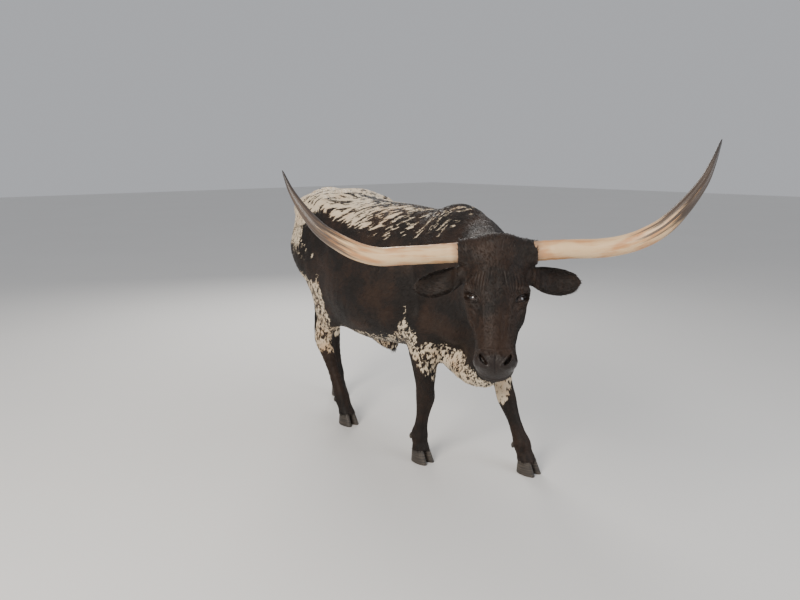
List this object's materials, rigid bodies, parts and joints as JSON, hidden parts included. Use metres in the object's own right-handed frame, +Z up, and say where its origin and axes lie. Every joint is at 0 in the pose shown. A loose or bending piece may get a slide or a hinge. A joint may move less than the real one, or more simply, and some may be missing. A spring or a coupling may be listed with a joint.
{
  "type": "longhorn steer model",
  "caption": "Life-size longhorn steer in mid-stride, head turned to its right, with long upswept horns, cloven hooves and a speckled dark coat.",
  "frame": {"origin": "on the floor, under the middle of the whole animal's bounding box", "axes": "+Z up, the trunk runs along Y and the steer walks towards -Y, its left side is +X"},
  "size_m": [1.5754, 2.8662, 1.7605],
  "materials": {
    "coat": "short glossy hair, near black with a brown sheen, cream where speckled",
    "horn": "satin horn, cream at the root and grey-black to the tip",
    "eye": "wet, very dark brown",
    "hoof": "dull dark horn",
    "hair": "long dark hair of the tail"
  },
  "bodies": {
    "root": {"torso": "coat", "neck": "coat", "head": "coat", "lower_jaw": "coat", "ear_left": "coat", "ear_right": "coat", "tail": "coat", "sheath": "coat", "fore_left_upper_leg": "coat", "fore_left_lower_leg": "coat", "fore_right_upper_leg": "coat", "fore_right_lower_leg": "coat", "hind_left_upper_leg": "coat", "hind_left_lower_leg": "coat", "hind_right_upper_leg": "coat", "hind_right_lower_leg": "coat", "horn_left": "horn", "horn_right": "horn", "eye_left": "eye", "eye_right": "eye", "fore_left_claw_inner": "hoof", "fore_left_claw_outer": "hoof", "fore_left_dewclaw_inner": "hoof", "fore_left_dewclaw_outer": "hoof", "fore_right_claw_inner": "hoof", "fore_right_claw_outer": "hoof", "fore_right_dewclaw_inner": "hoof", "fore_right_dewclaw_outer": "hoof", "hind_left_claw_inner": "hoof", "hind_left_claw_outer": "hoof", "hind_left_dewclaw_inner": "hoof", "hind_left_dewclaw_outer": "hoof", "hind_right_claw_inner": "hoof", "hind_right_claw_outer": "hoof", "hind_right_dewclaw_inner": "hoof", "hind_right_dewclaw_outer": "hoof", "tail_switch": "hair"}
  },
  "joints": []
}
